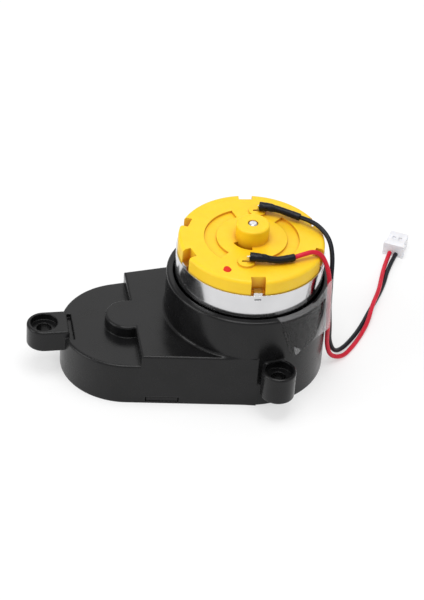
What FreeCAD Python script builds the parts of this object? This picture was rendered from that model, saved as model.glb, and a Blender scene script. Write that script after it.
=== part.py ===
"""Geared DC motor: a flat 32 mm can motor in the cup of an offset plastic gearbox.

Frame: origin where the output axis meets the base plane, +X towards the motor's axis, +Z up through
the motor to its end cap. Millimetres.
"""

import FreeCAD, Part
import math
import os
import re

import Sketcher
from FreeCAD import Placement, Rotation, Vector
from fcgear import fcgear, involute

UP = Vector(0, 0, 1)

# Every driving dimension: alias, value, meaning.
DIMENSIONS = [
    ("lobe_radius", 14.5, "outer radius of the rounded output end"),
    ("cup_radius", 17.8, "outer radius of the motor cup and of the housing under it"),
    ("motor_offset", 26.0, "output axis to motor axis"),
    ("low_deck", 10.05, "top of the low deck"),
    ("high_deck", 12.85, "top of the raised deck and of the output boss"),
    ("step_at", 1.1, "where the raised deck begins"),
    ("cup_height", 22.5, "rim of the motor cup"),
    ("cup_bore", 16.4, "inner radius of the motor cup"),
    ("cup_floor", 12.4, "upper face of the cup's floor, where the motor stands"),
    ("cup_floor_thickness", 1.5, "cup's floor"),
    ("wall", 1.5, "housing wall"),
    ("edge_round", 0.5, "rounding of the housing's outer edges"),
    ("output_boss_radius", 4.9, "boss over the output shaft"),
    ("ear_at", 18.15, "ear's screw axis, on the far side of the output axis"),
    ("ear_radius", 3.75, "ear"),
    ("ear_land", 13.0, "where the ear's strip ends"),
    ("moat_end", 11.9, "end of the sunk strip between the ear and the low deck"),
    ("moat_width", 8.8, "sunk strip between the ear and the low deck"),
    ("moat_depth", 0.9, "sunk strip between the ear and the low deck"),
    ("ear_top", 11.65, "top of the ear"),
    ("ear_bottom", 6.7, "underside of the ear"),
    ("ear_counterbore", 2.95, "radius of the ear's screw seat"),
    ("side_boss_x", 29.8, "side screw boss"),
    ("side_boss_y", 20.2, "side screw boss, distance in front of the motor axis"),
    ("side_boss_radius", 3.7, "side screw boss"),
    ("side_boss_top", 11.65, "top of the side screw boss"),
    ("side_boss_bottom", 5.2, "underside of the side screw boss"),
    ("side_web", 5.4, "width of the web that joins the side boss to the cup"),
    ("side_web_top", 8.6, "top of the web that joins the side boss to the cup"),
    ("ledge_end", 25.9, "end of the front wall where it runs on past the cup"),
    ("ledge_stand", 0.12, "how far the front wall's end stands out"),
    ("side_counterbore", 3.0, "radius of the side boss's screw seat"),
    ("ear_seat", 1.5, "depth of the ear's screw seat"),
    ("side_seat", 2.0, "depth of the side boss's screw seat"),
    ("mount_hole", 1.6, "radius of both mounting screw holes"),
    ("cover_thickness", 1.6, "lower cover"),
    ("cover_gap", 0.05, "gap round the lower cover"),
    ("window_at", 7.7, "middle of the snap window along the front wall"),
    ("window_width", 7.2, "snap window"),
    ("window_bottom", 0.4, "lower edge of the snap window"),
    ("window_top", 1.7, "upper edge of the snap window"),
    ("window_depth", 2.0, "how far the snap window's cut reaches inside the front wall"),
    ("snap_gap", 0.2, "gap beside and above the snap tab"),
    ("snap_inset", 0.2, "snap tab's face behind the front wall"),
    ("post_radius", 2.0, "posts that take the cover screws"),
    ("pilot_radius", 0.8, "cover screw's thread"),
    ("pilot_depth", 6.0, "cover screw's thread in its post"),
    ("cover_head_radius", 1.8, "cover screw's head"),
    ("cover_head_height", 0.9, "cover screw's head"),
    ("head_gap", 0.2, "radial gap round a sunk screw head"),
    ("shank_gap", 0.1, "radial gap round a screw's shank"),
    ("cross_reach", 1.3, "length of a screw's cross slot, in head radii"),
    ("cross_width", 0.4, "screw's cross slot"),
    ("socket_width", 4.5, "square drive socket across its flats"),
    ("socket_depth", 4.6, "square drive socket"),
    ("drive_hole", 1.25, "radius of the drive screw's hole"),
    ("drive_hole_end", 9.6, "end of the drive screw's hole"),
    ("hub_radius", 4.4, "output shaft's lower journal"),
    ("hub_seat", 4.9, "output shaft under the gear"),
    ("hub_flats", 8.8, "flats that turn the gear"),
    ("journal_radius", 2.2, "output shaft's upper journal"),
    ("journal_end", 11.0, "top of the output shaft"),
    ("running_gap", 0.05, "radial running gap of every journal"),
    ("end_play", 0.1, "axial play of what turns"),
    ("hub_cone", 1.0, "height of the cone between the output shaft's hub and its journal"),
    ("lower_bush_radius", 5.6, "outer radius of the lower bush"),
    ("upper_bush_radius", 3.4, "outer radius of the upper bush"),
    ("upper_bush_bottom", 7.95, "lower end of the upper bush"),
    ("upper_bush_top", 11.2, "top of the upper bush"),
    ("fine_module", 0.5, "first and second stage"),
    ("coarse_module", 0.6, "output stage"),
    ("pressure_angle", 25, "all teeth, degrees"),
    ("addendum", 0.8, "tooth height above the pitch circle, in modules"),
    ("dedendum", 1.05, "tooth depth below the pitch circle, in modules"),
    ("mesh_gap", 0.12, "added to each pair's centre distance for backlash"),
    ("pinion_teeth", 10, "motor pinion and both small gears"),
    ("first_teeth", 32, "first gear"),
    ("second_teeth", 30, "second gear"),
    ("output_teeth", 36, "output gear"),
    ("first_bearing", 155, "direction of the first gear from the motor axis, degrees"),
    ("output_gear_bottom", 2.1, "output gear"),
    ("output_gear_top", 5.6, "output gear"),
    ("second_bottom", 2.05, "lower end of the second gear"),
    ("second_wheel_bottom", 5.9, "second gear's wheel"),
    ("second_wheel_top", 7.4, "second gear's wheel"),
    ("first_bottom", 5.75, "lower end of the first gear"),
    ("first_wheel_bottom", 7.9, "first gear's wheel"),
    ("first_wheel_top", 9.4, "first gear's wheel"),
    ("gear_end", 10.7, "upper end of both idle gears"),
    ("gear_hub", 1.3, "radius of the idle gears' upper hubs"),
    ("pin_radius", 0.75, "axle pins"),
    ("pin_gap", 0.04, "radial gap of the idle gears on their pins"),
    ("pin_bottom", 0.6, "lower end of the axle pins"),
    ("pin_top", 11.9, "upper end of the axle pins"),
    ("first_boss", 1.8, "radius of the cover boss under the first gear"),
    ("second_boss", 1.6, "radius of the cover boss under the second gear"),
    ("can_radius", 16.0, "motor can"),
    ("can_wall", 0.8, "motor can"),
    ("can_top", 28.45, "rim of the motor can"),
    ("collar_radius", 3.6, "front bearing collar"),
    ("collar_bottom", 11.0, "front bearing collar"),
    ("collar_gap", 0.2, "radial gap round the front bearing collar"),
    ("tab_width", 1.8, "tabs that hold the cap"),
    ("tab_inner", 14.1, "inner reach of the tabs"),
    ("tab_outer", 15.9, "outer reach of the tabs"),
    ("tab_height", 0.7, "tabs above the can's rim"),
    ("punch_width", 1.4, "punch mark in the can below each tab"),
    ("punch_height", 0.4, "punch mark in the can below each tab"),
    ("punch_bottom", 27.3, "punch mark in the can below each tab"),
    ("punch_depth", 0.35, "punch mark in the can below each tab"),
    ("motor_turn", -4.6, "the motor's turn in its cup, degrees"),
    ("cap_radius", 15.7, "end cap"),
    ("cap_top", 31.9, "end cap's flat face"),
    ("cap_round", 0.8, "end cap's rounded edge"),
    ("cap_plug", 15.15, "part of the cap inside the can"),
    ("cap_plug_bottom", 26.9, "part of the cap inside the can"),
    ("cap_cavity", 13.2, "radius of the cap's cavity"),
    ("cap_cavity_top", 30.4, "roof of the cap's cavity"),
    ("notch_width", 3.0, "rim notches"),
    ("notch_inner", 13.85, "depth of the rim notches, from the axis"),
    ("notch_spread", 22, "side notches from the motor's cross axis, degrees"),
    ("recess_inner", 7.6, "arc recesses"),
    ("recess_outer", 10.2, "arc recesses"),
    ("recess_depth", 0.5, "arc recesses"),
    ("recess_span", 115, "arc recesses, degrees"),
    ("boss_radius", 3.6, "rear bearing boss"),
    ("boss_top", 35.6, "rear bearing boss"),
    ("boss_round", 0.45, "rear bearing boss's rounded edge"),
    ("shaft_mouth", 0.12, "radial gap round the shaft's end"),
    ("shaft_mouth_depth", 3.0, "gap round the shaft's end"),
    ("slit_at", -124.1, "middle of the slit on the cap, degrees"),
    ("slit_outer", 4.6, "slit at the boss's foot"),
    ("slit_span", 60, "slit at the boss's foot, degrees"),
    ("terminal_reach", 9.3, "terminals from the motor axis"),
    ("terminal_turn", 77.3, "terminals' direction on the cap, degrees"),
    ("terminal_width", 1.8, "terminal tag"),
    ("terminal_thickness", 0.4, "terminal tag"),
    ("terminal_shoulder", 32.1, "where the tag narrows to its blade, inside the pad's slot"),
    ("terminal_top", 33.65, "terminal tag"),
    ("terminal_foot", 1.4, "terminal tag below the roof of the cap's cavity"),
    ("terminal_gap", 0.05, "gap round the terminal tag"),
    ("brush_thickness", 0.3, "brush arm"),
    ("brush_height", 2.0, "brush arm"),
    ("brush_drop", 3.0, "lower edge of the brush arm below the roof of the cap's cavity"),
    ("brush_foot", 1.6, "thickness and height of the brush arm's foot"),
    ("pad_radius", 1.85, "round pad at each terminal"),
    ("pad_height", 0.5, "round pad at each terminal"),
    ("shaft_radius", 1.0, "motor shaft"),
    ("shaft_bottom", 7.5, "motor shaft"),
    ("shaft_top", 35.75, "crown of the motor shaft"),
    ("shaft_dome", 0.3, "height of the shaft's domed end"),
    ("shaft_chamfer", 0.2, "shaft's lower end"),
    ("bearing_radius", 2.9, "both motor bearings"),
    ("bearing_gap", 0.03, "radial gap of the motor bearings"),
    ("front_bearing_top", 14.6, "front bearing"),
    ("rear_bearing_bottom", 30.8, "rear bearing"),
    ("rear_bearing_top", 34.0, "rear bearing"),
    ("core_radius", 11.3, "armature"),
    ("core_bottom", 16.6, "armature stack"),
    ("core_top", 24.4, "armature stack"),
    ("core_slots", 5, "armature slots"),
    ("slot_width", 2.2, "armature slot's mouth"),
    ("slot_mouth", 8.0, "where the armature slot's mouth begins"),
    ("slot_reach", 8.6, "outer end of the armature slot's chamber"),
    ("slot_root", 1.2, "width of the slot's chamber at its inner end"),
    ("slot_spread", 8.6, "width of the slot's chamber at its outer end"),
    ("winding_inner", 3.6, "windings"),
    ("winding_outer", 10.4, "windings"),
    ("winding_rise", 1.3, "end turns beyond the stack"),
    ("magnet_inner", 11.8, "field magnets"),
    ("magnet_split", 5.0, "gap between the two magnets"),
    ("magnet_rise", 1.0, "magnets beyond the armature stack"),
    ("commutator_radius", 2.5, "commutator"),
    ("commutator_bottom", 26.6, "commutator"),
    ("commutator_top", 29.7, "commutator"),
    ("washer_radius", 2.2, "thrust washers"),
    ("washer_thickness", 0.3, "thrust washers"),
    ("motor_screw_at", 8.0, "motor screws from the motor axis"),
    ("motor_screw_radius", 1.0, "motor screws"),
    ("motor_screw_gap", 0.15, "radial gap round the motor screws in the cup's floor"),
    ("motor_screw_end", 0.6, "motor screws beyond the can's face"),
    ("motor_head_radius", 1.8, "motor screw's head"),
    ("motor_head_height", 1.1, "motor screw's head"),
    ("wire_radius", 0.5, "both wires"),
    ("sleeve_radius", 0.75, "heat-shrink sleeves"),
    ("plug_x", 68.1, "middle of the plug's wire end"),
    ("plug_y", 32.0, "middle of the plug's wire end"),
    ("plug_heading", 61, "direction that the plug points, degrees"),
    ("plug_length", 5.4, "plug"),
    ("plug_width", 4.3, "plug"),
    ("plug_height", 3.3, "plug"),
    ("plug_pitch", 1.5, "plug's contacts"),
    ("plug_axis", 0.85, "height of the plug's contacts and of the wires' ends"),
    ("plug_flange", 1.0, "length of the plug's flange"),
    ("plug_lip", 0.4, "flange beyond the plug's sides"),
    ("plug_round", 0.15, "plug's upright edges"),
    ("cavity_size", 1.15, "width and height of a contact's cavity"),
    ("cavity_start", 0.5, "where a contact's cavity begins"),
    ("dimple_start", 2.2, "latch dimples in the plug's top"),
    ("dimple_end", 3.5, "latch dimples in the plug's top"),
    ("dimple_width", 0.8, "latch dimples in the plug's top"),
    ("dimple_depth", 0.3, "latch dimples in the plug's top"),
    ("contact_size", 1.0, "width and height of a contact"),
    ("contact_start", 0.8, "wire end of a contact"),
    ("contact_length", 3.8, "contact"),
    ("contact_bore", 0.6, "width and height of a contact's opening"),
    ("contact_bore_start", 1.8, "where a contact's opening begins"),
    ("tape_thickness", 0.1, "clear tape"),
    ("tape_bottom", 12.6, "clear tape"),
    ("tape_top", 22.4, "clear tape"),
    ("tape_gap", 0.02, "clear tape in front of the cup"),
    ("tape_lift", 1.5, "clear tape over the wires"),
]

# The wires' routes, from the sleeve's end over the cap, down the cup and along the base plane to the
# plug, and the sleeves' routes from the terminals.
RED_SLEEVE = [
    (23.3, -8.6, 33.4), (26.3, -9.4, 33.6), (28.9, -9.7, 33.4), (31.2, -9.6, 33.1),
    (33.4, -9.2, 33.0),
]
RED_WIRE = [
    (33.4, -9.2, 33.0), (35.5, -8.8, 33.4), (37.6, -8.2, 33.5), (39.4, -8.0, 32.5),
    (40.5, -8.3, 30.6), (41.3, -8.9, 28.2), (41.6, -9.6, 25.4), (41.6, -10.2, 22.2),
    (41.9, -9.6, 18.3), (42.7, -8.2, 13.6), (43.2, -6.7, 9.2), (43.7, -5.8, 5.3),
    (44.9, -5.6, 2.1), (48.0, -4.3, 0.55), (51.0, -1.1, 0.55), (53.9, 2.9, 0.6),
    (56.4, 6.9, 1.1), (58.4, 11.8, 1.8), (61.0, 16.7, 1.8), (62.7, 21.3, 1.4),
    (64.8, 27.0, 0.8), (67.444, 32.364, 0.85),
]
BLACK_SLEEVE = [
    (28.8, 9.1, 33.4), (31.6, 8.0, 33.6), (33.7, 6.8, 33.5), (35.6, 5.6, 33.3),
    (37.3, 4.6, 33.1),
]
BLACK_WIRE = [
    (37.3, 4.6, 33.1), (39.6, 2.4, 33.5), (41.6, -0.3, 32.8), (42.7, -2.7, 31.5),
    (42.8, -5.4, 29.1), (42.2, -8.0, 26.0), (42.1, -9.3, 21.6), (42.6, -8.1, 17.8),
    (43.4, -6.5, 13.5), (44.1, -5.0, 9.6), (44.5, -4.2, 5.6), (45.9, -3.9, 2.0),
    (48.5, -1.6, 0.6), (51.9, 2.2, 0.55), (54.7, 6.1, 0.55), (57.5, 10.9, 0.55),
    (60.7, 16.0, 0.55), (63.4, 20.9, 0.55), (65.7, 26.6, 0.7), (68.756, 31.636, 0.85),
]
# Where the three cover screws stand.
POSTS = [(7.6, 11.8), (24.5, -13.6), (37.5, 8.0)]

doc = FreeCAD.newDocument("geared_motor")
pieces = []


def make_sheet():
    sheet = doc.addObject("Spreadsheet::Sheet", "Sizes")
    for row, (alias, value, meaning) in enumerate(DIMENSIONS, start=1):
        sheet.set(f"A{row}", meaning)
        sheet.set(f"B{row}", str(value))
        sheet.setAlias(f"B{row}", alias)
    doc.recompute()
    return sheet


sizes = make_sheet()


def size(alias):
    """A driving dimension's value, for shapes that are worked out in code."""
    return float(getattr(sizes, alias))


def bound(text):
    """An expression with every driving dimension's name pointed at the sheet."""
    known = {alias for alias, _, _ in DIMENSIONS}
    return re.sub(
        r"[a-z_]+", lambda word: f"Sizes.{word[0]}" if word[0] in known else word[0], text
    )


def value_of(text):
    """What an expression comes to."""
    return float(sizes.evalExpression(bound(text)))


def bind(item, **expressions):
    """Tie properties to expressions; a double underscore stands for a dot."""
    for name, text in expressions.items():
        path = name.replace("__", ".")
        item.setExpression(path if "." not in path else "." + path, bound(text))


def place(item, x="0", y="0", z="0", turn="0"):
    bind(item, Placement__Base__x=x, Placement__Base__y=y, Placement__Base__z=z)
    bind(item, Placement__Rotation__Angle=turn)
    return item


def keep(item, label):
    """Mark an object as a finished sub-part."""
    item.Label = label
    pieces.append(item)
    return item


# Sketches and PartDesign features


def new_body(label):
    return keep(doc.addObject("PartDesign::Body", label), label)


def new_sketch(body, height="0", turn="0", x="0", y="0"):
    """A sketch parallel to the base plane."""
    item = body.newObject("Sketcher::SketchObject", "Outline")
    plane = next(f for f in body.Origin.OriginFeatures if f.Role == "XY_Plane")
    item.AttachmentSupport = [(plane, "")]
    item.MapMode = "FlatFace"
    bind(item, AttachmentOffset__Base__x=x, AttachmentOffset__Base__y=y)
    bind(item, AttachmentOffset__Base__z=height, AttachmentOffset__Rotation__Angle=turn)
    return item


def new_profile(body, turn="0"):
    """A sketch in the plane of the body's Z axis, turned about that axis."""
    item = body.newObject("Sketcher::SketchObject", "Profile")
    plane = next(f for f in body.Origin.OriginFeatures if f.Role == "XZ_Plane")
    item.AttachmentSupport = [(plane, "")]
    item.MapMode = "FlatFace"
    item.AttachmentOffset = Placement(Vector(), Rotation(Vector(0, 1, 0), value_of(turn)))
    return item


def fix(sketch, text, *constraint):
    """A dimensional constraint that follows an expression."""
    row = sketch.addConstraint(Sketcher.Constraint(*constraint, value_of(text)))
    sketch.setExpression(f"Constraints[{row}]", bound(text))


def fix_point(sketch, curve, end, x, y):
    """Place a curve's end; a zero puts it on the axis."""
    for text, kind, axis in ((x, "DistanceX", -2), (y, "DistanceY", -1)):
        if text == "0":
            sketch.addConstraint(Sketcher.Constraint("PointOnObject", curve, end, axis))
        else:
            fix(sketch, text, kind, -1, 1, curve, end)


def draw_circle(sketch, radius):
    curve = sketch.addGeometry(Part.Circle(Vector(), UP, value_of(radius)), False)
    sketch.addConstraint(Sketcher.Constraint("Coincident", curve, 3, -1, 1))
    fix(sketch, radius, "Radius", curve)
    return sketch


def draw_polygon(sketch, corners):
    """A closed polygon through corners given as pairs of expressions."""
    points = [Vector(value_of(x), value_of(y), 0) for x, y in corners]
    count = len(points)
    lines = [
        sketch.addGeometry(Part.LineSegment(points[i], points[(i + 1) % count]), False)
        for i in range(count)
    ]
    for i, line in enumerate(lines):
        after = lines[(i + 1) % count]
        sketch.addConstraint(Sketcher.Constraint("Coincident", line, 2, after, 1))
    for line, (x, y) in zip(lines, corners):
        fix_point(sketch, line, 1, x, y)
    return sketch


def draw_block(sketch, left, right, width):
    """A rectangle from left to right, with its width centred on the X axis."""
    low, high = f"0 - ({width}) / 2", f"({width}) / 2"
    return draw_polygon(sketch, [(left, low), (right, low), (right, high), (left, high)])


def draw_hull(sketch, small, big, distance):
    """Two circles joined by their outer tangents, the small one at the origin."""
    r, b, d = value_of(small), value_of(big), value_of(distance)
    lean = math.acos((r - b) / d)
    touch = Vector(math.cos(lean), math.sin(lean), 0)
    mirror = Vector(touch.x, -touch.y, 0)
    far = Vector(d, 0, 0)
    left = sketch.addGeometry(
        Part.ArcOfCircle(Part.Circle(Vector(), UP, r), lean, 2 * math.pi - lean), False
    )
    front = sketch.addGeometry(Part.LineSegment(mirror * r, far + mirror * b), False)
    right = sketch.addGeometry(Part.ArcOfCircle(Part.Circle(far, UP, b), -lean, lean), False)
    back = sketch.addGeometry(Part.LineSegment(far + touch * b, touch * r), False)
    sketch.addConstraint(Sketcher.Constraint("Coincident", left, 3, -1, 1))
    fix_point(sketch, right, 3, distance, "0")
    fix(sketch, small, "Radius", left)
    fix(sketch, big, "Radius", right)
    for first, second in ((left, front), (front, right), (right, back), (back, left)):
        sketch.addConstraint(Sketcher.Constraint("Tangent", first, 2, second, 1))
    return sketch


def pad(body, sketch, length):
    item = body.newObject("PartDesign::Pad", "Pad")
    item.Profile = sketch
    bind(item, Length=length)
    return item


def pocket(body, sketch, depth, upward=False):
    """Cut down from the sketch, or up from it."""
    item = body.newObject("PartDesign::Pocket", "Pocket")
    item.Profile = sketch
    item.Reversed = upward
    bind(item, Length=depth)
    return item


def spin(body, sketch, kind="Revolution", angle="360"):
    """Turn a profile round the body's Z axis, centred on the profile's own plane."""
    item = body.newObject(f"PartDesign::{kind}", kind)
    item.Profile = sketch
    item.ReferenceAxis = (sketch, ["V_Axis"])
    item.Midplane = True
    bind(item, Angle=angle)
    return item


def round_edges(body, base, radius, chosen):
    """Fillet the edges of base for which chosen(edge) is true."""
    doc.recompute()
    names = [f"Edge{i}" for i, edge in enumerate(base.Shape.Edges, start=1) if chosen(edge)]
    item = body.newObject("PartDesign::Fillet", "Round")
    item.Base = (base, names)
    bind(item, Radius=radius)
    return item


def lies_at(edge, height):
    box = edge.BoundBox
    return abs(box.ZMin - height) < 1e-4 and abs(box.ZMax - height) < 1e-4


def turned(label, outline, x="0", y="0", turn="0"):
    """A piece turned about its own Z axis from (radius, height) corners."""
    body = new_body(label)
    spin(body, draw_polygon(new_profile(body), outline))
    return place(body, x=x, y=y, turn=turn)


def tube_outline(inner, outer, bottom, top):
    return [(inner, bottom), (outer, bottom), (outer, top), (inner, top)]


# Part primitives and booleans


def cylinder(radius, bottom, top, x="0", y="0"):
    item = doc.addObject("Part::Cylinder", "Round")
    bind(item, Radius=radius, Height=f"{top} - ( {bottom} )")
    return place(item, x=x, y=y, z=bottom)


def box(length, width, height, x, y, z):
    """A box by its lowest corner."""
    item = doc.addObject("Part::Box", "Block")
    bind(item, Length=length, Width=width, Height=height)
    return place(item, x=x, y=y, z=z)


def fuse(members):
    item = doc.addObject("Part::MultiFuse", "Fused")
    item.Shapes = members
    return item


def cut(base, tool):
    item = doc.addObject("Part::Cut", "Cut")
    item.Base = base
    item.Tool = tool
    return item


def common(first, second):
    item = doc.addObject("Part::MultiCommon", "Common")
    item.Shapes = [first, second]
    return item


def from_shape(name, shape):
    item = doc.addObject("Part::Feature", name)
    item.Shape = shape
    return item


# The gear train's geometry


def pair_distance(module, first, second):
    """Centre distance of two meshing gears, with room for backlash."""
    return size(module) * (size(first) + size(second)) / 2 + size("mesh_gap")


def gear_centres():
    """The first gear from its distance to the motor, the second from its distances to the first
    gear and to the output axis."""
    bearing = math.radians(size("first_bearing"))
    reach = pair_distance("fine_module", "pinion_teeth", "first_teeth")
    motor = Vector(size("motor_offset"), 0, 0)
    first = motor + Vector(math.cos(bearing), math.sin(bearing), 0) * reach
    to_first = pair_distance("fine_module", "pinion_teeth", "second_teeth")
    to_output = pair_distance("coarse_module", "pinion_teeth", "output_teeth")
    far = first.Length
    opening = math.acos((to_output**2 + far**2 - to_first**2) / (2 * to_output * far))
    direction = math.atan2(first.y, first.x) - opening
    second = Vector(math.cos(direction), math.sin(direction), 0) * to_output
    return motor, first, second, Vector()


def direction(start, end):
    return math.degrees(math.atan2(end.y - start.y, end.x - start.x))


def meshed(phase, teeth, other_teeth, along):
    """Turn of a gear that meshes with another, whose turn is phase, seen along a direction."""
    lead = (phase - along) / (360 / teeth)
    return along + 180 + (0.5 - lead) * 360 / other_teeth


def toothed(module, teeth, turn, bottom, top):
    """Involute teeth from bottom to top, turned by some degrees about the gear's axis."""
    wire = fcgear.FCWireBuilder()
    involute.CreateExternalGear(
        wire,
        size(module),
        int(size(teeth)),
        size("pressure_angle"),
        split=True,
        addCoeff=size("addendum"),
        dedCoeff=size("dedendum"),
        filletCoeff=0.2,
    )
    outline = Part.Wire([curve.toShape() for curve in wire.wire])
    blank = Part.Face(outline).extrude(Vector(0, 0, size(top) - size(bottom)))
    blank.rotate(Vector(), UP, turn)
    item = from_shape("Teeth", blank)
    item.Placement = Placement(Vector(0, 0, size(bottom)), Rotation(UP, turn))
    return item


def set_on(item, centre):
    item.Placement = Placement(centre, Rotation())
    return item


# The gearbox


def post_discs(body, radius, bottom, top):
    for x, y in POSTS:
        sketch = draw_circle(new_sketch(body, bottom, x=str(x), y=f"0 + {y}"), radius)
        pad(body, sketch, f"{top} - ( {bottom} )")


def make_housing():
    body = new_body("upper_housing")
    outline = ("lobe_radius", "cup_radius", "motor_offset")
    pad(body, draw_hull(new_sketch(body), *outline), "high_deck")
    away = draw_block(new_sketch(body, "high_deck"), "0 - 2 * lobe_radius", "step_at", "4 * lobe_radius")
    pocket(body, away, "high_deck - low_deck")
    pad(body, draw_circle(new_sketch(body, "low_deck"), "output_boss_radius"), "high_deck - low_deck")
    cup = draw_circle(new_sketch(body, "low_deck", x="motor_offset"), "cup_radius")
    base = pad(body, cup, "cup_height - low_deck")
    levels = [value_of("low_deck"), value_of("high_deck"), value_of("cup_height")]

    def outer_edge(edge):
        if lies_at(edge, levels[0]):
            across = max(-edge.BoundBox.YMin, edge.BoundBox.YMax)
            return across > value_of("lobe_radius") - 0.5 and edge.BoundBox.XLength > 0.01
        return any(lies_at(edge, level) for level in levels[1:])

    round_edges(body, base, "edge_round", outer_edge)
    add_ledge(body)
    add_ear(body)
    add_side_boss(body)
    hollow_out(body)
    cut_screw_seats(body)
    cut_window(body)


def add_ledge(body):
    """The front wall runs on straight for a little past the point where it meets the cup."""
    lean = math.radians(wall_lean())
    start = "motor_offset - lobe_radius / 3"
    lowest = f"{math.tan(lean)} * ledge_end + lobe_radius / {math.cos(lean)} + ledge_stand"
    corners = [
        (start, "0 - cup_bore"), (start, f"0 - {math.tan(lean)} * ( {start} ) - lobe_radius"),
        ("ledge_end", f"0 - ( {lowest} )"), ("ledge_end", "0 - cup_bore"),
    ]
    pad(body, draw_polygon(new_sketch(body), corners), "high_deck")


def add_ear(body):
    height = "ear_top - ear_bottom"
    base = pad(body, draw_circle(new_sketch(body, "ear_bottom", x="0 - ear_at"), "ear_radius"), height)
    strip = draw_block(new_sketch(body, "ear_bottom"), "0 - ear_at", "0 - ear_land", "2 * ear_radius")
    base = pad(body, strip, height)
    top = value_of("ear_top")
    round_edges(body, base, "edge_round", lambda edge: lies_at(edge, top))
    moat = draw_block(new_sketch(body, "low_deck"), "0 - ear_land", "0 - moat_end", "moat_width")
    pocket(body, moat, "moat_depth")


def add_side_boss(body):
    level = "side_boss_bottom"
    place_of_boss = {"x": "side_boss_x", "y": "0 - side_boss_y"}
    web = new_sketch(body, level, turn="90", **place_of_boss)
    draw_block(web, "0", "side_boss_radius + wall", "side_web")
    pad(body, web, "side_web_top - side_boss_bottom")
    disc = draw_circle(new_sketch(body, level, **place_of_boss), "side_boss_radius")
    base = pad(body, disc, "side_boss_top - side_boss_bottom")
    top = value_of("side_boss_top")
    round_edges(body, base, "edge_round", lambda edge: lies_at(edge, top) and edge.BoundBox.XMin > 0)


def hollow_out(body):
    """The gear chamber from below, the motor's bore from above and the bores between them."""
    inner = ("lobe_radius - wall", "cup_radius - wall", "motor_offset")
    chamber = draw_hull(new_sketch(body), *inner)
    pocket(body, chamber, "low_deck - wall", upward=True)
    ceiling = "cup_floor - cup_floor_thickness"
    taper = "(cup_radius - lobe_radius) / motor_offset"
    deep_at = f"(step_at + lobe_radius) / (1 - {taper})"
    step = "low_deck - wall - edge_round"
    deep = new_sketch(body, step, x=deep_at)
    deep_radius = f"lobe_radius - wall + {taper} * {deep_at}"
    draw_hull(deep, deep_radius, "cup_radius - wall", f"motor_offset - {deep_at}")
    pocket(body, deep, f"{ceiling} - ( {step} )", upward=True)
    post_discs(body, "post_radius", "cover_thickness", "cup_floor - cup_floor_thickness / 2")
    for x, y in POSTS:
        pilot = new_sketch(body, "cover_thickness", x=str(x), y=f"0 + {y}")
        pocket(body, draw_circle(pilot, "pilot_radius"), "pilot_depth", upward=True)
    motor = draw_circle(new_sketch(body, "cup_height", x="motor_offset"), "cup_bore")
    pocket(body, motor, "cup_height - cup_floor")
    for radius, x, y in (
        ("collar_radius + collar_gap", "motor_offset", "0"),
        ("motor_screw_radius + motor_screw_gap", "motor_offset", "motor_screw_at"),
        ("motor_screw_radius + motor_screw_gap", "motor_offset", "0 - motor_screw_at"),
    ):
        hole = draw_circle(new_sketch(body, "cup_floor", x=x, y=y), radius)
        pocket(body, hole, "cup_floor_thickness")
    bush = draw_circle(new_sketch(body, "low_deck - wall"), "upper_bush_radius")
    pocket(body, bush, "upper_bush_top - low_deck + wall", upward=True)
    for centre in gear_centres()[1:3]:
        hole = new_sketch(body, ceiling, x=str(centre.x), y=f"0 + {centre.y}")
        pocket(body, draw_circle(hole, "pin_radius"), f"pin_top - ( {ceiling} )", upward=True)


def cut_screw_seats(body):
    for x, y, side, seat in (
        ("0 - ear_at", "0", "ear", "ear_counterbore"),
        ("side_boss_x", "0 - side_boss_y", "side_boss", "side_counterbore"),
    ):
        top, bottom, depth = f"{side}_top", f"{side}_bottom", f"{side.split('_')[0]}_seat"
        pocket(body, draw_circle(new_sketch(body, top, x=x, y=y), seat), depth)
        hole = draw_circle(new_sketch(body, top, x=x, y=y), "mount_hole")
        pocket(body, hole, f"{top} - ( {bottom} )")


def wall_lean():
    """Angle between the front wall and the X axis, degrees."""
    rise = size("cup_radius") - size("lobe_radius")
    return math.degrees(math.asin(rise / size("motor_offset")))


def window_sketch(body, height, inner, outer, width):
    """A rectangle across the front wall, inner and outer being distances from the line that the
    wall would follow if it began at the output axis."""
    lean = wall_lean()
    along = size("window_at")
    x = along * math.cos(math.radians(lean))
    y = -along * math.sin(math.radians(lean))
    sketch = new_sketch(body, height, x=f"0 + {x}", y=f"0 + {y}", turn=f"0 - 90 - {lean}")
    return draw_block(sketch, inner, outer, width)


def cut_window(body):
    inner, outer = "lobe_radius - window_depth", "lobe_radius + window_depth"
    sketch = window_sketch(body, "window_bottom", inner, outer, "window_width")
    pocket(body, sketch, "window_top - window_bottom", upward=True)


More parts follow.
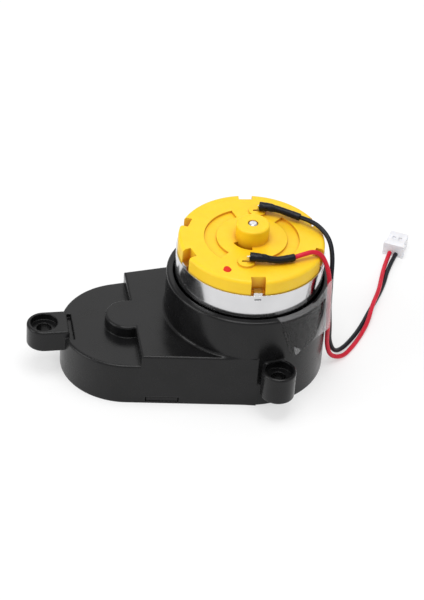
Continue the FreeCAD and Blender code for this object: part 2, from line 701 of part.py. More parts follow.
def make_cover():
    body = new_body("lower_cover")
    shell = "wall + cover_gap"
    sketch = new_sketch(body)
    draw_hull(sketch, f"lobe_radius - ( {shell} )", f"cup_radius - ( {shell} )", "motor_offset")
    pad(body, sketch, "cover_thickness")
    first, second = gear_centres()[1:3]
    for centre, radius, top in (
        (first, "first_boss", "first_bottom - end_play"),
        (second, "second_boss", "second_bottom - end_play"),
    ):
        boss = new_sketch(body, "cover_thickness", x=str(centre.x), y=f"0 + {centre.y}")
        pad(body, draw_circle(boss, radius), f"{top} - cover_thickness")
        hole = new_sketch(body, "pin_bottom", x=str(centre.x), y=f"0 + {centre.y}")
        pocket(body, draw_circle(hole, "pin_radius"), "first_bottom", upward=True)
    for x, y in POSTS:
        seat = new_sketch(body, x=str(x), y=f"0 + {y}")
        pocket(body, draw_circle(seat, "cover_head_radius + head_gap"), "cover_head_height", upward=True)
        hole = new_sketch(body, x=str(x), y=f"0 + {y}")
        pocket(body, draw_circle(hole, "pilot_radius + shank_gap"), "cover_thickness", upward=True)
    pocket(body, draw_circle(new_sketch(body), "lower_bush_radius"), "cover_thickness", upward=True)
    inner, outer = "lobe_radius - wall - window_depth", "lobe_radius - snap_inset"
    tab = window_sketch(body, "window_bottom", inner, outer, "window_width - 2 * snap_gap")
    pad(body, tab, "window_top - window_bottom - snap_gap")


def make_pins():
    _, first, second, _ = gear_centres()
    for label, centre in (("first_gear_pin", first), ("second_gear_pin", second)):
        outline = tube_outline("0", "pin_radius", "pin_bottom", "pin_top")
        turned(label, outline, x=str(centre.x), y=f"0 + {centre.y}")


def screw_group(label, places, head, head_bottom, head_height, shank, reach):
    """Pan-head screws whose shanks point up from their heads."""
    solids, slots = [], []
    seat = f"{head_bottom} + {head_height}"
    for x, y in places:
        solids.append(cylinder(head, head_bottom, seat, x, y))
        solids.append(cylinder(shank, seat, f"{seat} + {reach}", x, y))
        arm = f"cross_reach * {head}"
        for length, width in ((arm, "cross_width"), ("cross_width", arm)):
            corner = (f"{x} - {length} / 2", f"{y} - {width} / 2", head_bottom)
            slots.append(box(length, width, f"{head_height} / 2", *corner))
    return keep(cut(fuse(solids), fuse(slots)), label)


def make_screws():
    posts = [(str(x), f"0 + {y}") for x, y in POSTS]
    screw_group(
        "cover_screws", posts, "cover_head_radius", "0.0", "cover_head_height", "pilot_radius",
        "pilot_depth",
    )
    ceiling = "cup_floor - cup_floor_thickness"
    motor = [("motor_offset", "motor_screw_at"), ("motor_offset", "0 - motor_screw_at")]
    screw_group(
        "motor_screws", motor, "motor_head_radius", f"{ceiling} - motor_head_height",
        "motor_head_height", "motor_screw_radius",
        "cup_floor_thickness + can_wall + motor_screw_end",
    )


def make_output():
    """Output shaft with its square socket, its gear, and what they run in."""
    body = new_body("output_shaft")
    outline = [
        ("0", "0"), ("hub_radius", "0"), ("hub_radius", "output_gear_bottom"),
        ("hub_seat", "output_gear_bottom"), ("hub_seat", "output_gear_top"),
        ("journal_radius", "output_gear_top + hub_cone"), ("journal_radius", "journal_end"),
        ("0", "journal_end"),
    ]
    spin(body, draw_polygon(new_profile(body), outline))
    for side in ("0", "180"):
        flat = new_sketch(body, "output_gear_bottom", turn=side)
        draw_block(flat, "hub_flats / 2", "2 * hub_seat", "4 * hub_seat")
        pocket(body, flat, "output_gear_top - output_gear_bottom", upward=True)
    socket = draw_block(new_sketch(body), "0 - socket_width / 2", "socket_width / 2", "socket_width")
    pocket(body, socket, "socket_depth", upward=True)
    hole = draw_circle(new_sketch(body, "socket_depth"), "drive_hole")
    pocket(body, hole, "drive_hole_end - socket_depth", upward=True)

    turn = gear_turns()["output"]
    teeth = toothed("coarse_module", "output_teeth", turn, "output_gear_bottom", "output_gear_top")
    seat = common(
        cylinder("hub_seat", "output_gear_bottom", "output_gear_top"),
        box("hub_flats", "4 * hub_seat", "gear_end", "0 - hub_flats / 2", "0 - 2 * hub_seat", "0"),
    )
    keep(cut(teeth, seat), "output_gear")
    turned(
        "output_bush_lower",
        tube_outline("hub_radius + running_gap", "lower_bush_radius", "0", "cover_thickness"),
    )
    turned(
        "output_bush_upper",
        tube_outline(
            "journal_radius + running_gap", "upper_bush_radius", "upper_bush_bottom", "upper_bush_top"
        ),
    )
    turned(
        "output_washer",
        tube_outline(
            "hub_radius + running_gap", "lower_bush_radius", "cover_thickness",
            "output_gear_bottom - end_play",
        ),
    )


def gear_turns():
    """How far each gear is turned so that every pair is in mesh at rest."""
    centres = gear_centres()
    small = size("pinion_teeth")
    turns = [direction(*centres[:2])]
    for start, end, teeth in zip(centres, centres[1:], ("first_teeth", "second_teeth", "output_teeth")):
        turns.append(meshed(turns[-1], small, size(teeth), direction(start, end)))
    return dict(zip(("pinion", "first", "second", "output"), turns))


def idle_gear(label, centre, turn, small_module, wheel_teeth, heights):
    """A wheel and a small gear in one moulding, on a bore for its pin."""
    bottom, wheel_bottom, wheel_top = heights
    small = toothed(small_module, "pinion_teeth", turn, bottom, wheel_bottom)
    wheel = toothed("fine_module", wheel_teeth, turn, wheel_bottom, wheel_top)
    hub = cylinder("gear_hub", wheel_top, "gear_end")
    bore = cylinder("pin_radius + pin_gap", "0", "boss_top")
    return set_on(keep(cut(fuse([small, wheel, hub]), bore), label), centre)


def make_gears():
    motor, first, second, _ = gear_centres()
    turns = gear_turns()
    pinion = toothed(
        "fine_module", "pinion_teeth", turns["pinion"], "first_wheel_bottom", "first_wheel_top"
    )
    bored = cut(pinion, cylinder("shaft_radius", "0", "boss_top"))
    set_on(keep(bored, "motor_pinion"), motor)
    idle_gear(
        "first_gear", first, turns["first"], "fine_module", "first_teeth",
        ("first_bottom", "first_wheel_bottom", "first_wheel_top"),
    )
    idle_gear(
        "second_gear", second, turns["second"], "coarse_module", "second_teeth",
        ("second_bottom", "second_wheel_bottom", "second_wheel_top"),
    )


# The motor, in its own frame: Z is the motor's axis, and X is turned by motor_turn


NOTCH_TURNS = [
    "90", "270", "notch_spread", "0 - notch_spread", "180 - notch_spread", "180 + notch_spread",
]


def make_can():
    body = new_body("motor_can")
    inner = "can_radius - can_wall"
    floor = "cup_floor + can_wall"
    outline = [
        ("bearing_radius", "collar_bottom"), ("collar_radius", "collar_bottom"),
        ("collar_radius", "cup_floor"), ("can_radius", "cup_floor"), ("can_radius", "can_top"),
        (inner, "can_top"), (inner, floor), ("bearing_radius", floor),
    ]
    spin(body, draw_polygon(new_profile(body), outline))
    for turn in NOTCH_TURNS:
        seat = new_sketch(body, "can_top", turn=f"{turn} + motor_turn")
        pad(body, draw_block(seat, "tab_inner", "tab_outer", "tab_width"), "tab_height")
        mark = new_sketch(body, "punch_bottom", turn=f"{turn} + motor_turn")
        draw_block(mark, "can_radius - punch_depth", "can_radius + can_wall", "punch_width")
        pocket(body, mark, "punch_height", upward=True)
    for y in ("motor_screw_at", "0 - motor_screw_at"):
        hole = draw_circle(new_sketch(body, "cup_floor", y=y), "motor_screw_radius")
        pocket(body, hole, "can_wall", upward=True)
    place(body, x="motor_offset")


def make_cap():
    body = new_body("motor_end_cap")
    plug = draw_circle(new_sketch(body, "cap_plug_bottom"), "cap_plug")
    pad(body, plug, "can_top - cap_plug_bottom")
    base = pad(body, draw_circle(new_sketch(body, "can_top"), "cap_radius"), "cap_top - can_top")
    top = value_of("cap_top")
    round_edges(body, base, "cap_round", lambda edge: lies_at(edge, top))
    base = pad(body, draw_circle(new_sketch(body, "cap_top"), "boss_radius"), "boss_top - cap_top")
    crown = value_of("boss_top")
    round_edges(body, base, "boss_round", lambda edge: lies_at(edge, crown))
    for side in ("0", "180"):
        x, y = terminal_place(side)
        disc = draw_circle(new_sketch(body, "cap_top", x=x, y=y), "pad_radius")
        pad(body, disc, "pad_height")
        slot = new_sketch(body, "cap_top + pad_height", x=x, y=y)
        reach = "terminal_width / 2 + terminal_gap"
        draw_block(slot, f"0 - ( {reach} )", reach, "terminal_thickness + 2 * terminal_gap")
        pocket(body, slot, "cap_top")
    for turn in NOTCH_TURNS:
        notch = new_sketch(body, "cap_top", turn=turn)
        draw_block(notch, "notch_inner", "cup_radius", "notch_width")
        pocket(body, notch, "cap_top - can_top")
    for side in ("90", "270"):
        floor = "cap_top - recess_depth"
        middle = f"terminal_turn + {side}"
        ring_cut(body, "recess_inner", "recess_outer", floor, "boss_top", middle, "recess_span")
    cavity = draw_circle(new_sketch(body, "cap_plug_bottom"), "cap_cavity")
    pocket(body, cavity, "cap_cavity_top - cap_plug_bottom", upward=True)
    seat = draw_circle(new_sketch(body, "cap_cavity_top"), "bearing_radius")
    pocket(body, seat, "rear_bearing_top - cap_cavity_top", upward=True)
    mouth = draw_circle(new_sketch(body, "boss_top"), "shaft_radius + shaft_mouth")
    pocket(body, mouth, "shaft_mouth_depth")
    ring_cut(body, "boss_radius", "slit_outer", "cap_plug_bottom", "boss_top", "slit_at", "slit_span")
    place(body, x="motor_offset", turn="motor_turn")


def terminal_place(side):
    """X and Y of a terminal on the cap, side being its turn from the first one."""
    turn = f"(terminal_turn + {side}) * 1 deg"
    return f"terminal_reach * cos({turn})", f"terminal_reach * sin({turn})"


def ring_cut(body, inner, outer, bottom, top, middle, span):
    """Cut a stretch of a ring, centred on a direction given anticlockwise in degrees."""
    profile = new_profile(body, turn=middle)
    spin(body, draw_polygon(profile, tube_outline(inner, outer, bottom, top)), "Groove", span)


def on_motor(label, inner, outer, bottom, top):
    """A plain ring on the motor's axis."""
    return turned(label, tube_outline(inner, outer, bottom, top), x="motor_offset")


def make_bearings():
    bore, outer = "shaft_radius + bearing_gap", "bearing_radius"
    on_motor("front_bearing", bore, outer, "collar_bottom + end_play", "front_bearing_top")
    on_motor("rear_bearing", bore, outer, "rear_bearing_bottom", "rear_bearing_top")


def make_rotor():
    outline = [
        ("0", "shaft_bottom"), ("shaft_radius - shaft_chamfer", "shaft_bottom"),
        ("shaft_radius", "shaft_bottom + shaft_chamfer"), ("shaft_radius", "shaft_top - shaft_dome"),
        ("0.75 * shaft_radius", "shaft_top - 0.3 * shaft_dome"), ("0", "shaft_top"),
    ]
    turned("motor_shaft", outline, x="motor_offset")

    body = new_body("armature_core")
    stack = tube_outline("shaft_radius", "core_radius", "core_bottom", "core_top")
    spin(body, draw_polygon(new_profile(body), stack))
    height = "core_top - core_bottom"
    chamber = [
        ("winding_inner", "0 - slot_root / 2"), ("slot_reach", "0 - slot_spread / 2"),
        ("slot_reach", "slot_spread / 2"), ("winding_inner", "slot_root / 2"),
    ]
    for number in range(int(size("core_slots"))):
        turn = f"{number} * 360 / core_slots"
        mouth = new_sketch(body, "core_top", turn=turn)
        pocket(body, draw_block(mouth, "slot_mouth", "can_radius", "slot_width"), height)
        pocket(body, draw_polygon(new_sketch(body, "core_top", turn=turn), chamber), height)
    core = place(body, x="motor_offset")

    low, high = "core_bottom - winding_rise", "core_top + winding_rise"
    ring = cut(
        cylinder("winding_outer", low, high, "motor_offset"),
        cylinder("winding_inner", "0", "boss_top", "motor_offset"),
    )
    keep(cut(ring, core), "armature_windings")
    on_motor("commutator", "shaft_radius", "commutator_radius", "commutator_bottom", "commutator_top")
    washers = [
        cut(
            cylinder("washer_radius", bottom, f"{bottom} + washer_thickness", "motor_offset"),
            cylinder("shaft_radius", "0", "boss_top", "motor_offset"),
        )
        for bottom in (
            "front_bearing_top + end_play", "rear_bearing_bottom - washer_thickness - end_play"
        )
    ]
    keep(fuse(washers), "thrust_washers")


def make_magnets():
    inner, outer = "magnet_inner", "can_radius - can_wall"
    ring = cut(
        cylinder(outer, "core_bottom - magnet_rise", "core_top + magnet_rise", "motor_offset"),
        cylinder(inner, "0", "boss_top", "motor_offset"),
    )
    corner = ("motor_offset - magnet_split / 2", "0 - can_radius", "0")
    split = box("magnet_split", "2 * can_radius", "boss_top", *corner)
    keep(cut(ring, split), "magnets")


def make_terminals():
    """Tags that stand through the cap, each with the brush arm that it feeds inside."""
    for label, arm_label, side in (
        ("black_terminal", "black_brush_arm", "0"), ("red_terminal", "red_brush_arm", "180"),
    ):
        body = new_body(label)
        x, y = terminal_place(side)
        tag = new_sketch(body, "cap_cavity_top - terminal_foot", x=x, y=y)
        draw_block(tag, "0 - terminal_width / 2", "terminal_width / 2", "terminal_thickness")
        pad(body, tag, "terminal_shoulder - cap_cavity_top + terminal_foot")
        blade = new_sketch(body, "terminal_shoulder", x=x, y=y)
        draw_block(blade, "0", "terminal_width / 2", "terminal_thickness")
        pad(body, blade, "terminal_top - terminal_shoulder")
        place(body, x="motor_offset", turn="motor_turn")
        body = new_body(arm_label)
        level, turn = "cap_cavity_top - brush_drop", f"terminal_turn + {side}"
        near, far = "terminal_reach - terminal_width / 2", "terminal_reach + terminal_width / 2"
        arm = new_sketch(body, level, turn=turn)
        draw_block(arm, "commutator_radius + running_gap", near, "brush_thickness")
        pad(body, arm, "brush_height")
        foot = draw_block(new_sketch(body, level, turn=turn), near, far, "brush_foot")
        pad(body, foot, "brush_foot")
        place(body, x="motor_offset", turn="motor_turn")


# The wires, their plug and the tape


def bent_path(points):
    """Straight runs joined by tangent arcs, each as large as 0.45 of its shorter run allows."""
    points = [Vector(*point) for point in points]
    edges, radii, start = [], [], points[0]
    for before, corner, after in zip(points, points[1:], points[2:]):
        arrive, leave = (corner - before).normalize(), (after - corner).normalize()
        turn = arrive.getAngle(leave)
        shorter = min(before.distanceToPoint(corner), corner.distanceToPoint(after))
        trim = 0.45 * shorter
        radii.append(trim / math.tan(turn / 2))
        entry, leaving = corner - arrive * trim, corner + leave * trim
        inward = (leave - arrive).normalize()
        middle = corner + inward * (radii[-1] / math.cos(turn / 2) - radii[-1])
        edges += [Part.LineSegment(start, entry), Part.Arc(entry, middle, leaving)]
        start = leaving
    edges.append(Part.LineSegment(start, points[-1]))
    return Part.Wire([edge.toShape() for edge in edges]), radii


def swept_tube(label, points, radius):
    path, radii = bent_path(points)
    first = Vector(*points[0])
    ring = Part.Wire(Part.Circle(first, Vector(*points[1]) - first, radius).toShape())
    solid = path.makePipeShell([ring], True, False)
    expected = math.pi * radius**2 * path.Length
    bends = ", ".join(f"{bend:.1f}" for bend in radii)
    print(f"{label}: {path.Length:.1f} mm, volume {solid.Volume:.2f} of {expected:.2f}")
    print(f"{label}: bends of {bends} mm")
    if abs(solid.Volume / expected - 1) > 0.01:
        raise SystemExit(f"{label} is not as large as its section times its length")
    return keep(from_shape(label, solid), label)


def make_wires():
    swept_tube("red_sleeve", RED_SLEEVE, size("sleeve_radius"))
    swept_tube("black_sleeve", BLACK_SLEEVE, size("sleeve_radius"))
    swept_tube("red_wire", RED_WIRE, size("wire_radius"))
    swept_tube("black_wire", BLACK_WIRE, size("wire_radius"))


def make_plug():
    """Two-way housing, X pointing away from the wires, and the contacts in it."""
    body = new_body("connector_housing")
    pad(body, draw_block(new_sketch(body), "0", "plug_length", "plug_width"), "plug_height")
    flange = draw_block(new_sketch(body), "0", "plug_flange", "plug_width + 2 * plug_lip")
    base = pad(body, flange, "plug_height")

    def upright(edge):
        return edge.BoundBox.ZLength > size("plug_height") - size("plug_round")

    round_edges(body, base, "plug_round", upright)
    sides = ("0 - plug_pitch / 2", "plug_pitch / 2")
    for side in sides:
        cavity = new_sketch(body, "plug_axis - cavity_size / 2", y=side)
        draw_block(cavity, "cavity_start", "plug_length", "cavity_size")
        pocket(body, cavity, "cavity_size", upward=True)
        dimple = new_sketch(body, "plug_height", y=side)
        draw_block(dimple, "dimple_start", "dimple_end", "dimple_width")
        pocket(body, dimple, "dimple_depth")
    place(body, x="plug_x", y="plug_y", turn="plug_heading")

    solids = []
    for side in sides:
        shell, hollow = (
            box(length, width, width, start, f"{side} - {width} / 2", f"plug_axis - {width} / 2")
            for length, width, start in (
                ("contact_length", "contact_size", "contact_start"),
                ("contact_length", "contact_bore", "contact_bore_start"),
            )
        )
        solids.append(cut(shell, hollow))
    contacts = keep(fuse(solids), "connector_contacts")
    place(contacts, x="plug_x", y="plug_y", turn="plug_heading")


def on_ring(radius, degrees, height):
    """A point round the motor's axis."""
    angle = math.radians(degrees)
    centre = Vector(size("motor_offset"), 0, height)
    return centre + Vector(math.cos(angle), math.sin(angle), 0) * radius


def make_tape():
    """A strip of clear tape: flat on the cup, then out over the wires, then flat again."""
    cup = size("cup_radius") + size("tape_gap")
    over = cup + size("tape_lift")
    bottom, thick = size("tape_bottom"), size("tape_thickness")
    spans = [(-79, -42, cup), (-37.5, -14, over), (-8, 0, cup)]

    def trail(shift):
        """One face of the tape: three arcs round the motor's axis and the ramps between them."""
        edges, last = [], None
        for start, end, radius in spans:
            ring = [on_ring(radius + shift, a, bottom) for a in (start, (start + end) / 2, end)]
            if last:
                edges.append(Part.LineSegment(last, ring[0]).toShape())
            edges.append(Part.Arc(*ring).toShape())
            last = ring[2]
        return edges

    ends = [
        Part.LineSegment(on_ring(cup, a, bottom), on_ring(cup + thick, a, bottom)).toShape()
        for a in (spans[0][0], spans[-1][1])
    ]
    outline = Part.Wire(Part.sortEdges([*trail(0), *trail(thick), *ends])[0])
    solid = Part.Face(outline).extrude(Vector(0, 0, size("tape_top") - bottom))
    keep(from_shape("cover_tape", solid), "cover_tape")


def check_and_export():
    doc.recompute()
    wrong = [o.Name for o in doc.Objects if {"Invalid", "Error"} & set(o.State)]
    for item in doc.Objects:
        if item.TypeId in ("PartDesign::Pocket", "PartDesign::Groove"):
            if item.Shape.Volume > item.BaseFeature.Shape.Volume - 1e-4:
                wrong.append(f"{item.Name} in {item.getParentGeoFeatureGroup().Label} cuts nothing")
    for piece in pieces:
        if piece.Shape.isNull() or not piece.Shape.isValid() or not piece.Shape.Solids:
            wrong.append(f"{piece.Label} has no valid shape")
    if wrong:
        raise SystemExit(f"failed: {wrong}")
    os.makedirs("parts", exist_ok=True)
    for piece in pieces:
        piece.Shape.exportStep(f"parts/{piece.Label}.step")
        print(f"{piece.Label}: {len(piece.Shape.Solids)} solid(s), {piece.Shape.Volume:.1f} mm3")


make_housing()
make_cover()
make_pins()
make_screws()
make_output()
make_gears()
make_can()
make_cap()
make_bearings()
make_rotor()
make_magnets()
make_terminals()
make_wires()
make_plug()
make_tape()
check_and_export()
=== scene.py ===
"""Looks of a geared DC motor: materials, leads, sleeves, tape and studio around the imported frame."""

import math

import bmesh
import bpy
from mathutils import Matrix, Vector


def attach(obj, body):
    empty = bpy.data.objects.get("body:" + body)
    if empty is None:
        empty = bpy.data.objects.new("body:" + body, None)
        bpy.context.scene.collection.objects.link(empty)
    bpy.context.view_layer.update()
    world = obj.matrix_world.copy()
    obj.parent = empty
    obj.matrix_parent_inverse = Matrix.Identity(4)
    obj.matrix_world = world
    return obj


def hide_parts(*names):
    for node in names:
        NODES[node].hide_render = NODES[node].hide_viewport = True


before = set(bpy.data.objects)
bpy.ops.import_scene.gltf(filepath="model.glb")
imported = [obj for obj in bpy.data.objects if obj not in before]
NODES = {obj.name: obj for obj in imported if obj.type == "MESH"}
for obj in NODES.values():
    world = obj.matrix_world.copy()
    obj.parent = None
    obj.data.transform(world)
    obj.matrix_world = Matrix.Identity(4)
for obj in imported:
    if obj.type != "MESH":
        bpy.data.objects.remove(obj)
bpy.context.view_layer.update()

MM = 0.001

# ---------------------------------------------------------------- camera, floor and light
CAMERA_TARGET = Vector((19.27, 4.14, 12.0)) * MM
CAMERA_AZIMUTH = math.radians(-12.01)
CAMERA_ELEVATION = math.radians(38.17)
CAMERA_ROLL = math.radians(4.39)
CAMERA_DISTANCE = 451.48 * MM
CAMERA_LENS = 123.14
CAMERA_SENSOR = 36.0

WORLD_STRENGTH = 0.50
# Name, place and size in metres, power in watts.
SOFTBOXES = [
    ("overhead_softbox", (0.02, -0.05, 0.85), (0.55, 0.5), 4.0),
    ("side_softbox", (0.60, -0.45, 0.45), (0.4, 0.4), 0.4),
    ("left_softbox", (-0.75, -0.10, 0.35), (0.5, 0.5), 2.4),
    ("back_softbox", (0.17, 0.70, 0.57), (0.6, 0.5), 0.75),
    ("front_softbox", (-0.22, -0.42, 0.72), (0.5, 0.3), 0.7),
]


def make_camera():
    """Camera at the viewing angle, turned a little about its own axis."""
    back = Vector((
        math.sin(CAMERA_AZIMUTH) * math.cos(CAMERA_ELEVATION),
        -math.cos(CAMERA_AZIMUTH) * math.cos(CAMERA_ELEVATION),
        math.sin(CAMERA_ELEVATION),
    ))
    level = Vector((0, 0, 1)).cross(back).normalized()
    upward = back.cross(level)
    right = level * math.cos(CAMERA_ROLL) + upward * math.sin(CAMERA_ROLL)
    above = upward * math.cos(CAMERA_ROLL) - level * math.sin(CAMERA_ROLL)
    data = bpy.data.cameras.new("camera")
    data.lens = CAMERA_LENS
    data.sensor_width = CAMERA_SENSOR
    camera = bpy.data.objects.new("camera", data)
    bpy.context.scene.collection.objects.link(camera)
    turn = Matrix((right, above, back)).transposed()
    place = CAMERA_TARGET + back * CAMERA_DISTANCE
    camera.matrix_world = Matrix.Translation(place) @ turn.to_4x4()
    bpy.context.scene.camera = camera


def make_softbox(name, place, size, power):
    """Rectangular lamp that faces the object."""
    data = bpy.data.lights.new(name, "AREA")
    data.shape = "RECTANGLE"
    data.size, data.size_y = size
    data.energy = power
    lamp = bpy.data.objects.new(name, data)
    bpy.context.scene.collection.objects.link(lamp)
    lamp.location = place
    lamp.rotation_euler = (Vector(place) - CAMERA_TARGET).to_track_quat("Z", "Y").to_euler()


def make_surroundings():
    """Even white surroundings, the soft boxes and a plain view transform."""
    world = bpy.data.worlds.new("studio")
    world.use_nodes = True
    backdrop = world.node_tree.nodes["Background"]
    backdrop.inputs["Color"].default_value = (1.0, 1.0, 1.0, 1.0)
    backdrop.inputs["Strength"].default_value = WORLD_STRENGTH
    bpy.context.scene.world = world
    for name, place, size, power in SOFTBOXES:
        make_softbox(name, place, size, power)
    view = bpy.context.scene.view_settings
    view.view_transform = "Standard"
    view.look = "None"


# ---------------------------------------------------------------- shader helpers
NOISE_ROUGHNESS = 0.55
BEVEL_SAMPLES = 6
# Samples of the occlusion mask that paints shade into the cap's recesses.
PAINTED_SHADE_SAMPLES = 8


def feed(tree, socket, value):
    """Links a socket's value where it is a socket, and sets it where it is a constant."""
    if isinstance(value, bpy.types.NodeSocket):
        tree.links.new(value, socket)
    else:
        socket.default_value = value


def add_node(tree, kind, inputs=(), **settings):
    """New node with its settings, and its inputs linked or set by name or number."""
    made = tree.nodes.new(kind)
    for key, value in settings.items():
        setattr(made, key, value)
    for key, value in dict(inputs).items():
        feed(tree, made.inputs[key], value)
    return made


def place_of(tree, stretch=(1.0, 1.0, 1.0)):
    """Position on the object in metres, squeezed by stretch along each axis."""
    where = add_node(tree, "ShaderNodeTexCoord").outputs["Object"]
    scaled = add_node(tree, "ShaderNodeVectorMath", {0: where, 1: stretch}, operation="MULTIPLY")
    return scaled.outputs["Vector"]


def noise(tree, size_mm, detail=3.0, distortion=0.0, stretch=(1.0, 1.0, 1.0)):
    """Cloudy noise whose lumps are about size_mm across, as a value round 0.5."""
    made = add_node(tree, "ShaderNodeTexNoise", {
        "Vector": place_of(tree, stretch),
        "Scale": 1.0 / (size_mm * MM),
        "Detail": detail,
        "Roughness": NOISE_ROUGHNESS,
        "Distortion": distortion,
    })
    return made.outputs["Fac"]


def remap(tree, value, low, high, to_low, to_high, smooth=False):
    """Value taken from the range low to high to the range to_low to to_high, and held at its ends."""
    made = add_node(tree, "ShaderNodeMapRange", {
        "Value": value, "From Min": low, "From Max": high, "To Min": to_low, "To Max": to_high,
    }, clamp=True, interpolation_type="SMOOTHSTEP" if smooth else "LINEAR")
    return made.outputs["Result"]


def arithmetic(tree, operation, first, second):
    made = add_node(tree, "ShaderNodeMath", {0: first, 1: second}, operation=operation)
    return made.outputs["Value"]


def ramp(tree, factor, stops):
    """Colour ramp over (position, (r, g, b)) stops."""
    made = add_node(tree, "ShaderNodeValToRGB", {"Fac": factor})
    elements = made.color_ramp.elements
    while len(elements) < len(stops):
        elements.new(0.5)
    for element, (position, colour) in zip(elements, stops):
        element.position = position
        element.color = (*colour, 1.0)
    return made.outputs["Color"]


def specks(tree, spacing_mm, size, share):
    """Small round specks, 1 on a speck and 0 off it, on the given share of the cells."""
    cells = add_node(tree, "ShaderNodeTexVoronoi", {
        "Vector": place_of(tree), "Scale": 1.0 / (spacing_mm * MM), "Randomness": 1.0,
    })
    near = remap(tree, cells.outputs["Distance"], size * 0.5, size, 1.0, 0.0, smooth=True)
    lot = add_node(tree, "ShaderNodeSeparateColor", {"Color": cells.outputs["Color"]}).outputs["Red"]
    picked = remap(tree, lot, 1.0 - share, 1.0 - share + 0.001, 0.0, 1.0)
    return arithmetic(tree, "MULTIPLY", near, picked)


def scratches(tree, length_mm, width_mm, share, tilt_deg):
    """Fine straight hairlines at one tilt, 1 on a hairline and 0 off it."""
    turned = add_node(tree, "ShaderNodeVectorRotate", {
        "Vector": place_of(tree), "Angle": math.radians(tilt_deg),
    }, rotation_type="Z_AXIS")
    fine = 1.0 / (width_mm * MM)
    drawn_out = add_node(tree, "ShaderNodeVectorMath", {
        0: turned.outputs["Vector"], 1: (1.0 / (length_mm * MM), fine, fine),
    }, operation="MULTIPLY")
    made = add_node(tree, "ShaderNodeTexNoise", {
        "Vector": drawn_out.outputs["Vector"], "Scale": 1.0, "Detail": 1.0,
    })
    return remap(tree, made.outputs["Fac"], 1.0 - share, 1.0 - share + 0.03, 0.0, 1.0)


def bump(tree, height, height_mm, below=None):
    """Bump of the given real height, over another bump or a rounded-edge normal if given."""
    inputs = {"Height": height, "Distance": height_mm * MM, "Strength": 1.0}
    if below is not None:
        inputs["Normal"] = below
    return add_node(tree, "ShaderNodeBump", inputs).outputs["Normal"]


def soft_edges(tree, radius_mm):
    """Normal that rounds the mesh's sharp edges by the given radius."""
    rounded = add_node(tree, "ShaderNodeBevel", {"Radius": radius_mm * MM}, samples=BEVEL_SAMPLES)
    return rounded.outputs["Normal"]


def finish_surface(name, sockets):
    """Material whose Principled sockets are set by sockets(tree), which returns them by name."""
    material = bpy.data.materials.new(name)
    material.use_nodes = True
    tree = material.node_tree
    principled = tree.nodes["Principled BSDF"]
    for key, value in sockets(tree).items():
        feed(tree, principled.inputs[key], value)
    return material


# ---------------------------------------------------------------- materials
DUST = (0.12, 0.12, 0.125, 1.0)
CAP_SPECK = (0.45, 0.24, 0.03, 1.0)
# Painted shade: deep orange for the cap's recesses, and how far its occlusion mask reaches, in millimetres.
CAP_PAINTED_SHADE = (0.62, 0.22, 0.0, 1.0)
CAP_PAINTED_SHADE_MM = 4.0
METAL_EDGE_MM = 0.08
# The motor's axis, the film's distance from it on the cup, and the top of the cup's rim.
MOTOR_X = 26.0
CUP_SKIN = 17.87
RIM_TOP = 22.5


def moulded_black(tree, dark, light, rough_low, rough_high, orange_peel_mm, edge_mm):
    """Black ABS: cloudy tone, rubbed patches, hairlines, dust and a faint orange peel."""
    tone = noise(tree, 6.0, detail=4.0)
    dust = specks(tree, 2.1, 0.05, 0.16)
    lines = scratches(tree, 9.0, 0.08, 0.20, 24.0)
    worn = arithmetic(tree, "MAXIMUM", lines, dust)
    colour = add_node(tree, "ShaderNodeMixRGB", {
        "Fac": arithmetic(tree, "MULTIPLY", worn, 0.22),
        "Color1": ramp(tree, tone, [(0.3, dark), (0.72, light)]),
        "Color2": DUST,
    }).outputs["Color"]
    cloud = remap(tree, noise(tree, 3.0, detail=5.0), 0.3, 0.7, rough_low, rough_high)
    peel = bump(tree, noise(tree, 0.55, detail=2.0), orange_peel_mm, soft_edges(tree, edge_mm))
    waves = bump(tree, noise(tree, 7.0, detail=1.0), 0.012, peel)
    return {
        "Base Color": colour,
        "Roughness": arithmetic(tree, "ADD", cloud, arithmetic(tree, "MULTIPLY", worn, 0.15)),
        "Specular IOR Level": 0.26,
        "Normal": waves,
    }


def moulded_yellow(tree):
    """Yellow acetal: warm plastic with painted shade that turns its recesses deep orange, faint flow marks
    and a satin skin.
    """
    tone = noise(tree, 5.0, detail=3.0, distortion=0.6)
    dust = specks(tree, 1.7, 0.045, 0.10)
    speckled = add_node(tree, "ShaderNodeMixRGB", {
        "Fac": arithmetic(tree, "MULTIPLY", dust, 0.45),
        "Color1": ramp(tree, tone, [(0.25, (0.86, 0.54, 0.004)), (0.75, (0.90, 0.59, 0.008))]),
        "Color2": CAP_SPECK,
    }).outputs["Color"]
    # Painted shade: the occlusion mask turns the colour deep orange where the recesses lie in shade.
    painted_shade = add_node(
        tree, "ShaderNodeAmbientOcclusion", {"Distance": CAP_PAINTED_SHADE_MM * MM}, samples=PAINTED_SHADE_SAMPLES)
    colour = add_node(tree, "ShaderNodeMixRGB", {
        "Fac": remap(tree, painted_shade.outputs["AO"], 0.3, 0.82, 0.95, 0.0),
        "Color1": speckled,
        "Color2": CAP_PAINTED_SHADE,
    }).outputs["Color"]
    peel = bump(tree, noise(tree, 0.5, detail=2.0), 0.0016, soft_edges(tree, 0.25))
    return {
        "Base Color": colour,
        "Roughness": remap(tree, noise(tree, 1.5, detail=4.0), 0.3, 0.7, 0.40, 0.56),
        "IOR": 1.47,
        "Subsurface Weight": 0.12,
        "Subsurface Radius": (1.0, 0.45, 0.08),
        "Subsurface Scale": 0.0005,
        "Normal": bump(tree, noise(tree, 9.0, detail=1.0), 0.02, peel),
    }


